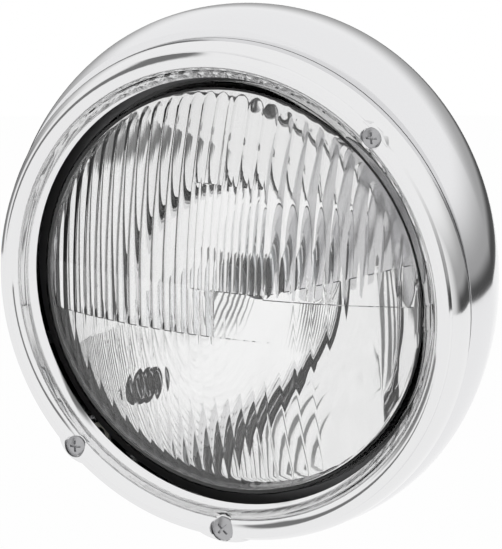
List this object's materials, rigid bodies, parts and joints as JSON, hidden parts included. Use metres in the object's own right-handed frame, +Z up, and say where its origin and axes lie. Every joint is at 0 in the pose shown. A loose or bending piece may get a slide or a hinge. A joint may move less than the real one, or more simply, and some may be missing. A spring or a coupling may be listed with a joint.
{
  "type": "motorcycle headlight",
  "caption": "Round chrome motorcycle headlight with a fluted glass, beaded rim, domed shell, aim adjusters and a threaded mount underneath",
  "frame": {"origin": "on the axis of the threaded mount, in the plane of its mouth under the shell", "axes": "the lamp shines along -Y, +Y runs to the back of the shell, +Z is up out of the mount, +X is to the right of someone facing the glass"},
  "size_m": [0.2044, 0.1267, 0.2146],
  "materials": {
    "chrome_shell": "polished chrome on pressed steel",
    "chrome_rim": "polished chrome on pressed steel",
    "lens_glass": "clear pressed glass, fluted inside",
    "mirror_metal": "vacuum-coated mirror on pressed steel",
    "zinc": "bright zinc-plated sheet",
    "ring_paint": "black paint on pressed steel",
    "screw_steel": "zinc-plated, turned",
    "spring_steel": "drawn spring wire",
    "bush_steel": "plated turned steel",
    "rubber": "matt moulded rubber",
    "nylon": "natural nylon",
    "bulb_glass": "clear quartz glass",
    "shield_metal": "grey molybdenum sheet",
    "bulb_metal": "bright pressed metal",
    "brass": "tinned brass blades"
  },
  "bodies": {
    "housing": {"shell": "chrome_shell", "rim": "chrome_rim", "rim_hook": "zinc", "rim_seal": "rubber", "rim_screw": "screw_steel", "rim_bracket": "zinc", "adjuster_screws": "screw_steel", "adjuster_clips": "zinc", "pivot_stud": "screw_steel", "mount_bush": "bush_steel", "cable_grommet": "rubber"},
    "ball_seat": {"pivot_seat": "nylon"},
    "insert": {"mounting_ring": "ring_paint", "retaining_ring": "ring_paint", "ring_screws": "screw_steel", "adjuster_nuts": "nylon", "lens": "lens_glass", "lens_seal": "rubber", "reflector": "mirror_metal", "bulb_glass": "bulb_glass", "bulb_shield": "shield_metal", "bulb_base": "bulb_metal", "bulb_terminals": "brass", "bulb_clip": "spring_steel", "bulb_boot": "rubber", "pilot_seal": "rubber", "pilot_base": "bulb_metal", "pilot_glass": "bulb_glass"}
  },
  "joints": [
    {"name": "aim_vertical", "type": "hinge", "parent": "housing", "child": "ball_seat", "pos_m": [-0.06611, -0.023, 0.17211], "axis": [1, 0, 0], "range_deg": [-1.5, 1.5]},
    {"name": "aim_horizontal", "type": "hinge", "parent": "ball_seat", "child": "insert", "pos_m": [-0.06611, -0.023, 0.17211], "axis": [0, 0, 1], "range_deg": [-1.5, 1.5]}
  ]
}
